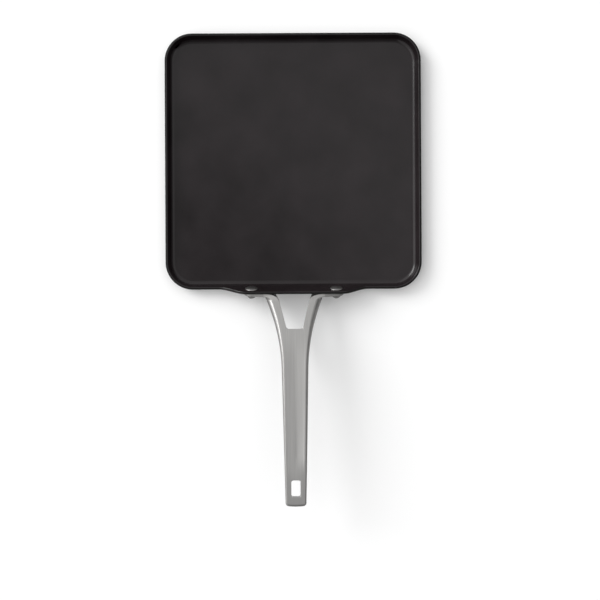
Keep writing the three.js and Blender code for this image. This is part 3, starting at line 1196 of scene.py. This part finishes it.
    def rounded(self, across: float, reach: float) -> tuple[float, float]:
        """Move a point beside a corner of an opening so that the corner is round.

        Args:
            across: Its place across, beside a sharp corner.
            reach: Its reach.

        Returns:
            Its place across and its reach, beside the round corner.
        """
        near, far = self.slot_ends
        for corner, way in ((self.root_reach, 1), (near, -1), (far, 1)):
            radius = self.corner_radius(corner)
            beside, beyond = across - self.border(reach), way * (reach - corner)
            level = max(beside, beyond)
            bend = radius + level
            along = level - min(beside, beyond)
            if level >= self.corner_fade[1] or along >= bend:
                continue
            angle = math.pi / 4 * (1 - along / bend)
            close, away = bend * math.sin(angle) - radius, bend * math.cos(angle) - radius
            moved = (away, close) if beside >= beyond else (close, away)
            share = 1 - smoothstep(level, *self.corner_fade)
            new_reach = corner + way * lerp(beyond, moved[1], share)
            return self.border(new_reach) + lerp(beside, moved[0], share), new_reach
        return across, reach

    def side_profile(self, reach: float) -> list[tuple[float, float]]:
        """Points of the outer side, as an inset from the widest line and a height over the top.

        Args:
            reach: Where along the handle.

        Returns:
            The points, from the top down.
        """
        rim, deep = self.edge_inset(reach), self.side_depth(reach)
        inset, up = rim, 0.0
        edge = []
        for arc, count in zip(self.edge(reach), self.arc_steps):
            for tilt in steps(arc.start, arc.end, count)[1:]:
                edge.append((inset - arc.width(tilt), up - arc.drop(tilt)))
            inset, up = edge[-1]
        side = [
            (lerp(inset, 0, share), lerp(up, -deep, share))
            for share in steps(0, 1, self.draft_steps)[1:]
        ]
        last = math.acos(1 - rim / self.belly_width)
        depth = self.thickness(reach) - deep - self.belly_crown
        belly = [
            (self.belly_width * (1 - math.cos(t)), -deep - depth * math.sin(t))
            for t in steps(0, last, self.edge_steps + 1)[1:-1]
        ]
        return [*edge, *side, *belly]

    def place(self, row: Row, across: float, reach: float, up: float) -> Vector:
        """A point of the handle, with the rounding and crown of its tip.

        Args:
            row: The row that it belongs to.
            across: Where across the handle it would be without them.
            reach: Its reach without them.
            up: Its height over the top line without them.

        Returns:
            The point.
        """
        half, thick = self.half_width(row.reach), self.thickness(row.reach)
        drop = 1 - math.cos(row.tip_turn)
        narrowed = across * (half - self.tip_corner_radius * drop) / half
        flattened = 1 - 2 * self.end_face_radius * drop / thick
        tip_start = self.tip_reach - self.tip_corner_radius
        crown = self.tip_crown * smoothstep(row.reach, tip_start - self.grip_width, self.tip_reach)
        back = crown * (narrowed / half) ** 2
        return self.line.place(narrowed, reach - back, -thick / 2 + (up + thick / 2) * flattened)

    def slice(self, skin: Skin, row: Row, columns: int, walls: Sequence[int]) -> Slice:
        """Add one slice of the arm or the grip.

        Args:
            skin: The mesh that takes it.
            row: Where it is.
            columns: How many columns of the top it has.
            walls: Columns that border an opening.

        Returns:
            The slice.
        """
        top = []
        for across in self.columns(row.reach)[:columns]:
            x, reach = self.rounded(across, row.reach)
            up = self.top_height(x, reach)
            top.append(self.place(row, x, reach + row.lean * up, up))
        under = []
        low = row.reach - row.lean * self.thickness(row.reach)
        for across in self.columns(low)[:columns]:
            x, reach = self.rounded(across, low)
            up = self.under_height(x, reach)
            under.append(self.place(row, x, reach + row.lean * (up + self.thickness(row.reach)), up))
        side = []
        for inset, up in self.side_profile(row.reach):
            reach = row.reach + row.lean * up
            side.append(self.place(row, self.half_width(reach) - inset, reach, up))
        shares = steps(0, 1, self.wall_steps)[1:-1]
        return Slice(
            skin.add(top),
            skin.add(side),
            skin.add(under),
            {c: skin.add([top[c].lerp(under[c], share) for share in shares]) for c in walls},
        )

    def arm_rows(self) -> list[Row]:
        """Rows of an arm, from a plane along the pad to just before the root of the fork.

        Returns:
            The rows.
        """
        swing = self.line.rise_angle + self.pad.lean
        lean = math.tan(swing) * math.cos(self.line.rise_angle)
        first = self.line.reach + self.arm_fillet / math.cos(swing) * math.cos(self.line.rise_angle)
        bend, _ = self.line.bend_start
        crook = self.root_reach - self.gap_corner_radius
        return [
            *(Row(lerp(first, bend, s), lean * (1 - s)) for s in steps(0, 1, self.rise_steps)),
            *(Row(reach) for reach in steps(bend, crook, self.crook_steps)[1:-1]),
            *(Row(self.root_reach - self.gap_corner_radius * s) for s in reversed(self.corner_shares)),
        ]

    def grip_rows(self) -> list[tuple[Row, bool, bool]]:
        """Rows from the root of the fork to the tip.

        Returns:
            For each row, whether the slot is cut from it and whether it ends an opening.
        """
        near, far = self.slot_ends
        arch, _ = self.line.arch_start
        edge, radius = self.edge_offsets, self.slot_corner_radius
        away = [offset for offset in reversed(edge) if offset > 0]
        before = [self.root_reach + offset for offset in away]
        before += steps(before[-1], arch, self.shoulder_steps)[1:]
        before += steps(arch, near - edge[0], self.grip_steps)[1:]
        before += [near - offset for offset in edge[1:] if offset > 0]
        inside = [near + radius * s for s in self.corner_shares]
        inside += steps(inside[-1], far - radius, self.slot_steps)[1:-1]
        inside += [far - radius * s for s in reversed(self.corner_shares)]
        tip_start = self.tip_reach - self.tip_corner_radius
        after = [far + offset for offset in away]
        after += steps(after[-1], tip_start, self.tip_steps)[1:]
        tip = [
            Row(tip_start + self.tip_corner_radius * math.sin(turn), tip_turn=turn)
            for turn in steps(0, math.pi / 2, self.tip_turn_steps)[1:]
        ]
        return [
            (Row(self.root_reach), False, True),
            *((Row(reach), False, False) for reach in before),
            (Row(near), False, True),
            *((Row(reach), True, False) for reach in inside),
            (Row(far), False, True),
            *((Row(reach), False, False) for reach in after),
            *((row, False, False) for row in tip),
        ]

    def ear_profile(self) -> list[tuple[float, float, float]]:
        """Section of an ear, in the order top, side, underside and wall.

        Returns:
            Each point's depth in from the front, distance in from the outline, and its place between
            the lower (-1) and the upper (1) edge.
        """
        thick, radius = self.ear_front - self.ear_back, self.ear_edge_radius
        plain = len(self.rail_offsets) + len(self.field_shares)
        depths = [lerp(radius, thick - self.edge_offsets[0], j / plain) for j in range(plain)]
        edge = [(depth, 0.0) for depth in depths]
        edge += [(thick - o, rounding(o, self.opening_edge_radius)) for o in self.edge_offsets]
        turns = steps(0, math.pi / 2, self.edge_steps)[1:]
        front = [(radius * (1 - math.sin(t)), radius * (1 - math.cos(t))) for t in turns]
        flat = steps(1, -1, self.draft_steps + 1)[1:-1]
        back = steps(1, -1, self.wall_steps)[1:-1]
        return [
            *((depth, inset, 1.0) for depth, inset in edge),
            *((depth, inset, 1.0) for depth, inset in front),
            *((0.0, radius, place) for place in flat),
            *((depth, inset, -1.0) for depth, inset in reversed(front)),
            *((depth, inset, -1.0) for depth, inset in edge),
            *((thick, self.opening_edge_radius, place) for place in back),
        ]

    def ear_height(self, across: float) -> float:
        """Half the height of an ear between the arm and the rivet."""
        share = (across - self.fork_width / 2) / (self.body.rivet_spacing / 2 - self.fork_width / 2)
        return lerp(self.ear_root_height / 2, self.ear_end_radius, share)

    def ear_rings(self) -> list[list[Vector]]:
        """Rings of an ear, from its round end to the arm's fillet.

        Returns:
            The rings.
        """
        rivet, radius = self.body.rivet_spacing / 2, self.ear_end_radius
        profile, rings = self.ear_profile(), []
        for turn in steps(math.pi / 2, 0, self.ear_end_steps):
            rings.append([])
            for depth, inset, level in profile:
                across = rivet + (radius - inset) * math.sin(turn)
                up = level * (radius - inset) * math.cos(turn) - self.sink(depth)
                rings[-1].append(self.pad.place(across, up, self.ear_front - depth))
        for across in steps(rivet, self.fork_width / 2 + self.arm_fillet, self.ear_steps)[1:]:
            half = self.ear_height(across)
            rings.append([
                self.pad.place(across, level * (half - inset) - self.sink(depth), self.ear_front - depth)
                for depth, inset, level in profile
            ])
        return rings

    def sink(self, depth: float) -> float:
        """How far down the pad a point behind an ear's front comes, to keep the ear's edges level."""
        return depth * math.tan(self.pad.lean)

    def bend_rings(self, arm: Sequence[Vector]) -> list[list[Vector]]:
        """Rings between an ear and the first ring of its arm.

        Args:
            arm: That first ring, which lies along the pad.

        Returns:
            The rings, which turn from square to the pad to along it.
        """
        places = [self.pad.locate(point) for point in arm]
        border = self.border_column
        out_end = places[0][2]
        arm_outer = max(across for across, _, _ in places)
        arm_inner = places[border][0]
        arm_top = max(up for _, up, _ in places)
        arm_low = min(up for _, up, _ in places)
        ear_across = self.fork_width / 2 + self.arm_fillet
        ear_half, thick = self.ear_height(ear_across), self.ear_front - self.ear_back
        # the way that the arm's outer and inner side go, across for each step out from the pad
        rise = math.cos(self.line.rise_angle) / math.cos(self.line.rise_angle + self.pad.lean)
        here = self.line.reach
        outer_way = (self.half_width(here + 1) - self.half_width(here)) * rise
        inner_way = (self.border(here + 1) - self.border(here)) * rise
        spread = ear_across - arm_outer + outer_way * self.arm_fillet
        heel = [
            Vector((ear_across, self.ear_back)),
            Vector((arm_inner + self.heel_reach, self.ear_back)),
            Vector((arm_inner, out_end)) - Vector((inner_way, 1)).normalized() * self.heel_pull,
            Vector((arm_inner, out_end)),
        ]
        top_power, low_power = self.rise_powers
        rings = []
        for turn in steps(0, math.pi / 2, self.bend_steps)[1:-1]:
            share = turn / (math.pi / 2)
            shaped = smoothstep(share, 0, 1)
            out = out_end - self.arm_fillet * math.cos(turn)
            front = Vector((arm_outer - outer_way * (out_end - out) + spread * (1 - math.sin(turn)), out))
            back = cubic(heel, share)
            top = lerp(ear_half, arm_top, share**top_power)
            low = lerp(-ear_half, arm_low, share**low_power)
            rings.append([])
            for (across, up, _), (depth, inset, level) in zip(places, self.ear_profile()):
                ear_place = (depth / thick, (level * (ear_half - inset) + ear_half) / (2 * ear_half))
                arm_inward = (arm_outer - across) / (arm_outer - arm_inner)
                arm_up = (up - arm_low) / (arm_top - arm_low)
                inward = lerp(ear_place[0], arm_inward, shaped)
                level_up = lerp(ear_place[1], arm_up, shaped)
                spot = front.lerp(back, inward)
                height = lerp(low, top, level_up) - self.sink(depth) * (1 - shaped)
                rings[-1].append(self.pad.place(spot.x, height, spot.y))
        return rings

    def ring_slice(self, skin: Skin, ring: Sequence[Vector]) -> Slice:
        """Add a ring of the ear or the bend as a slice.

        Args:
            skin: The mesh that takes it.
            ring: The ring's points, in the order of the ear's section.

        Returns:
            The slice.
        """
        numbers = skin.add(ring)
        columns = self.border_column + 1
        sides = self.edge_steps + self.draft_steps + self.edge_steps
        top, rest = numbers[:columns], numbers[columns:]
        side, rest = rest[:sides], rest[sides:]
        return Slice(top, side, rest[:columns], {self.border_column: rest[columns:]})

    def slices(self, skin: Skin) -> list[Slice]:
        """Add all slices of the right half, from the ear's round end to the tip.

        Args:
            skin: The mesh that takes them.

        Returns:
            The slices.
        """
        border = self.border_column
        every = len(self.columns(self.root_reach))
        arms = [self.slice(skin, row, border + 1, [border]) for row in self.arm_rows()]
        first = arms[0]
        ring = [*first.top, *first.side, *first.under, *first.walls[border]]
        places = [skin.points[number] for number in ring]
        roots = [*self.ear_rings(), *self.bend_rings(places)]
        grip = []
        for row, in_slot, ends in self.grip_rows():
            walls = range(border, every) if ends else [border] if in_slot else []
            grip.append(self.slice(skin, row, border + 1 if in_slot else every, walls))
        return [*(self.ring_slice(skin, ring) for ring in roots), *arms, *grip]

    def build(self, finishes: Sequence[bpy.types.Material]) -> bpy.types.Object:
        """Make the handle.

        Args:
            finishes: Its finishes, in the order of the handle's faces.

        Returns:
            The handle, in place of its plain solid.
        """
        skin = Skin()
        border = self.border_column
        all_slices = self.slices(skin)
        for number, (one, two) in enumerate(zip(all_slices, all_slices[1:])):
            shared = min(len(one.top), len(two.top))
            # The ears take the side steel all over, whose darker colour is painted shade.
            on_ear = number < self.ear_end_steps + self.ear_steps
            top_face, edge_face = (HandleFace.SIDE,) * 2 if on_ear else (HandleFace.TOP, HandleFace.EDGE)
            skin.strip(one.top[:shared], two.top[:shared], top_face)
            skin.strip(one.under[:shared], two.under[:shared], HandleFace.UNDERSIDE)
            rims = [[part.top[0], *part.side, part.under[0]] for part in (one, two)]
            edge = self.edge_steps
            skin.strip(rims[0][: edge + 1], rims[1][: edge + 1], edge_face)
            skin.strip(rims[0][edge:], rims[1][edge:], HandleFace.SIDE)
            if shared == border + 1:
                skin.strip(*(self.wall(part, border) for part in (one, two)), HandleFace.SIDE)
        for part in all_slices:
            ends = sorted(part.walls)
            for column, following in zip(ends, ends[1:]):
                skin.strip(self.wall(part, column), self.wall(part, following), HandleFace.SIDE)
        tip = all_slices[-1]
        skin.strip(tip.top, tip.under, HandleFace.SIDE)
        skin.face([tip.top[0], *tip.side, tip.under[0]], HandleFace.SIDE)
        handle = skin.piece("forked_handle", finishes, mirrored=True)
        cut(handle, [self.body.drill(side) for side in Side])
        lay_grain(handle)
        weigh_normals(handle, self.sharp_from)
        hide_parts("handle")
        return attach(handle, BODY)

    def wall(self, part: Slice, column: int) -> list[int]:
        """A wall of an opening at one column, from the top to the underside."""
        return [part.top[column], *part.walls[column], part.under[column]]


@dataclass(frozen=True)
class Rivet:
    """A rivet through the pad and an ear: a flat dome inside the tray, a higher one outside."""

    body: GriddleBody
    side: Side
    ear_front: float
    shank_radius: float = 3.0
    inner_radius: float = 7.0
    inner_dome: float = 1.8
    outer_radius: float = 5.5
    outer_dome: float = 4.6
    seat_gap: float = 0.05
    lip: float = 0.3
    lip_inset: float = 0.12  # of the lip's two edges, which are broken
    lip_lift: float = 0.03  # of its upper edge over the end of the dome
    lip_flat: Span = (0.18, 0.06)  # heights between which it stands upright
    sharp_from: float = math.radians(50)
    dome_steps: int = 12
    sides: int = 64

    def dome(self, radius: float, height: float) -> list[tuple[float, float]]:
        """A head's profile from its crown to its flat side.

        Args:
            radius: Of the head.
            height: Of its crown over its flat side.

        Returns:
            Radius and height of each point.
        """
        rise = height - self.lip
        ball = (radius**2 + rise**2) / (2 * rise)
        last = math.asin(radius / ball)
        turns = steps(0, last, self.dome_steps)
        cap = [(ball * math.sin(t), height - ball * (1 - math.cos(t))) for t in turns]
        edge = radius - self.lip_inset
        cap[-1] = (edge, cap[-1][1] + self.lip_lift)
        return [*cap, *((radius, z) for z in self.lip_flat), (edge, 0.0)]

    def build(self, finishes: Sequence[bpy.types.Material]) -> bpy.types.Object:
        """Make the rivet in place of its plain solid.

        Args:
            finishes: Of its inner and its outer head.

        Returns:
            The rivet.
        """
        skin = Skin()
        inner_seat = -self.body.gauge - self.seat_gap
        outer_seat = self.ear_front + self.seat_gap
        inner = [(r, inner_seat - h) for r, h in self.dome(self.inner_radius, self.inner_dome)]
        outer = [(r, outer_seat + h) for r, h in self.dome(self.outer_radius, self.outer_dome)]
        shank = [(self.shank_radius, inner_seat), (self.shank_radius, outer_seat)]
        across = self.side.value * self.body.rivet_spacing / 2
        halves = (([*inner, *shank], RivetFace.INNER), ([*outer, shank[1]], RivetFace.OUTER))
        for profile, kind in halves:
            self.body.pad_face().turned(skin, profile, across, self.sides, kind)
        name = f"rivet_{self.side.name.lower()}"
        rivet = skin.piece(f"{name}_turned", finishes)
        weigh_normals(rivet, self.sharp_from)
        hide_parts(name)
        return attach(rivet, BODY)


@dataclass(frozen=True)
class PhotoCamera:
    """A camera high over the pan that looks straight down, as the photograph was taken."""

    place_m: tuple[float, float, float] = (-0.030, -0.1517, 1.300)
    roll: float = math.radians(-0.29)
    focal_px: float = 1179.5
    shift: Span = (0.0560, 0.0001)
    sensor_mm: float = 36.0

    def build(self) -> bpy.types.Object:
        """Make the camera and look through it.

        Returns:
            The camera.
        """
        data = bpy.data.cameras.new("photo_camera")
        data.sensor_width = self.sensor_mm
        data.lens = self.focal_px / PHOTO_PX * self.sensor_mm
        data.shift_x, data.shift_y = self.shift
        camera = bpy.data.objects.new("photo_camera", data)
        camera.location = self.place_m
        camera.rotation_euler = (0, 0, self.roll)
        bpy.context.scene.collection.objects.link(camera)
        bpy.context.scene.camera = camera
        return camera


@dataclass(frozen=True)
class SkyPanel:
    """A panel of light or shade in the sky: where it is, how it fades in there and what it adds."""

    towards: tuple[float, float, float]
    fade: Span
    amount: float


@dataclass(frozen=True)
class Studio:
    """A white floor, a soft lamp at the upper left and pale light from all round."""

    floor_half_m: float = 60.0
    floor_grey: float = 0.81
    floor_glow: float = 0.08
    lamp_from: tuple[float, float, float] = (-1.2, 0.73, 0.72)
    lamp_angle: float = math.radians(32)
    lamp_power: float = 2.06
    sky_level: float = 0.346
    sky_panels: tuple[SkyPanel, ...] = (
        SkyPanel((0.6, 0.8, 0.0), (0.01, 0.11), 0.66),
        SkyPanel((-1.0, 0.0, 0.0), (0.12, 0.22), 0.7),
        SkyPanel((1.0, 0.0, 0.0), (0.45, 0.98), -0.88),
        SkyPanel((0.0, -1.0, 0.0), (-0.03, 0.05), 0.14),
        SkyPanel((0.0, -1.0, 0.0), (0.2, 0.9), -0.34),
        SkyPanel((0.0, 1.0, 0.0), (0.11, 0.3), -0.1),
        SkyPanel((-0.71, 0.0, 0.7), (0.88, 0.99), 0.9),
    )

    def build(self) -> None:
        """Set the floor, the lamp and the sky."""
        self.floor()
        self.lamp()
        self.sky()
        bpy.context.scene.view_settings.view_transform = "Standard"

    def floor(self) -> None:
        """Lay the floor: white to the eye and in reflections, with the pan's shadow on it."""
        skin = Skin()
        half = self.floor_half_m / MM
        corners = [(-half, -half), (half, -half), (half, half), (-half, half)]
        skin.face(skin.add([Vector((x, y, 0)) for x, y in corners]), TrayFace.INSIDE)
        floor = skin.piece("studio_floor", [self.floor_finish()])

    def floor_finish(self) -> bpy.types.Material:
        """A matt white that glows a little to the camera and in reflections.

        Returns:
            The material.
        """
        material = bpy.data.materials.new("studio_white")
        board = NodeBoard(material)
        rays = board.node("LightPath", {}).outputs
        seen = rays["Is Camera Ray"]
        for name in ("Is Glossy Ray", "Is Transmission Ray"):
            seen = board.node("Math", {0: seen, 1: rays[name]}, operation="MAXIMUM").outputs["Value"]
        level = board.node("Math", {0: seen, 1: self.floor_glow}, operation="MULTIPLY")
        matt = board.node("BsdfDiffuse", {"Color": (self.floor_grey,) * 3})
        glow = board.node("Emission", {"Strength": level.outputs["Value"]})
        both = board.node("AddShader", {0: matt.outputs["BSDF"], 1: glow.outputs["Emission"]})
        board.node("OutputMaterial", {"Surface": both.outputs["Shader"]})
        return material

    def lamp(self) -> None:
        """Hang the soft lamp."""
        data = bpy.data.lights.new("soft_lamp", "SUN")
        data.energy = self.lamp_power
        data.angle = self.lamp_angle
        lamp = bpy.data.objects.new("soft_lamp", data)
        lamp.rotation_mode = "QUATERNION"
        lamp.rotation_quaternion = Vector(self.lamp_from).to_track_quat("Z", "Y")
        bpy.context.scene.collection.objects.link(lamp)

    def sky(self) -> None:
        """Light the scene from all round through the panels, and show white to the camera."""
        world = bpy.data.worlds.new("studio_sky")
        bpy.context.scene.world = world
        board = NodeBoard(world)
        way = board.node("TexCoord", {}).outputs["Generated"]
        total = None
        for panel in self.sky_panels:
            towards = Vector(panel.towards).normalized()
            dot = board.node("VectorMath", {0: way, 1: towards}, operation="DOT_PRODUCT")
            base = self.sky_level if total is None else 0.0
            onto = (base, base + panel.amount)
            light = board.spread(
                dot.outputs["Value"], panel.fade, onto, interpolation_type="SMOOTHSTEP"
            )
            total = light if total is None else board.sum(total, light)
        pale = board.node("Background", {"Color": WHITE, "Strength": total})
        white = board.node("Background", {"Color": WHITE})
        seen = board.node("LightPath", {}).outputs["Is Camera Ray"]
        views = {"Fac": seen, 1: pale.outputs["Background"], 2: white.outputs["Background"]}
        either = board.node("MixShader", views)
        board.node("OutputWorld", {"Surface": either.outputs["Shader"]})


def main() -> None:
    """Build the pan, the studio and the camera."""
    logging.basicConfig(level=logging.INFO, format="%(name)s: %(message)s")
    PhotoCamera().build()
    Studio().build()
    body = GriddleBody()
    handle = ForkedHandle(body)
    brushed = BrushedSteel().material()
    # Painted shade: the handle's edges take a darker copy of the steel, which dims the lamp's highlight on
    # them.
    edge = SatinSteel(
        name="edge_steel_painted_shade",
        dark=(0.26, 0.257, 0.252),
        light=(0.31, 0.306, 0.3),
        gloss=(0.44, 0.5),
        relief=0.002,
    ).material()
    # Partly painted shade: the sides and the ears take a rougher, darker copy of the steel. The roughness
    # is their cast finish; the darker colour stands in for the shade on them.
    cast = SatinSteel(
        name="rough_side_and_painted_shade",
        dark=(0.2, 0.197, 0.193),
        light=(0.265, 0.262, 0.257),
        gloss=(0.36, 0.46),
    ).material()
    # Painted shade: the outer heads, under the ears, take a darker copy of the rivet steel.
    shaded_outer_head = SatinSteel(
        name="outer_head_painted_shade",
        dark=(0.14, 0.138, 0.135),
        light=(0.2, 0.197, 0.193),
        gloss=(0.3, 0.4),
    ).material()
    rivet_finishes = [SatinSteel(name="rivet_steel", gloss=(0.26, 0.34)).material(), shaded_outer_head]
    pieces = [
        body.build(NonStickCoat().material(), AnodisedSkin().material()),
        handle.build([brushed, edge, cast, brushed]),
        *(Rivet(body, side, handle.ear_front).build(rivet_finishes) for side in Side),
    ]
    for piece in pieces:
        log.info("%s: %d faces", piece.name, len(piece.data.polygons))


if __name__ == "__main__":
    main()
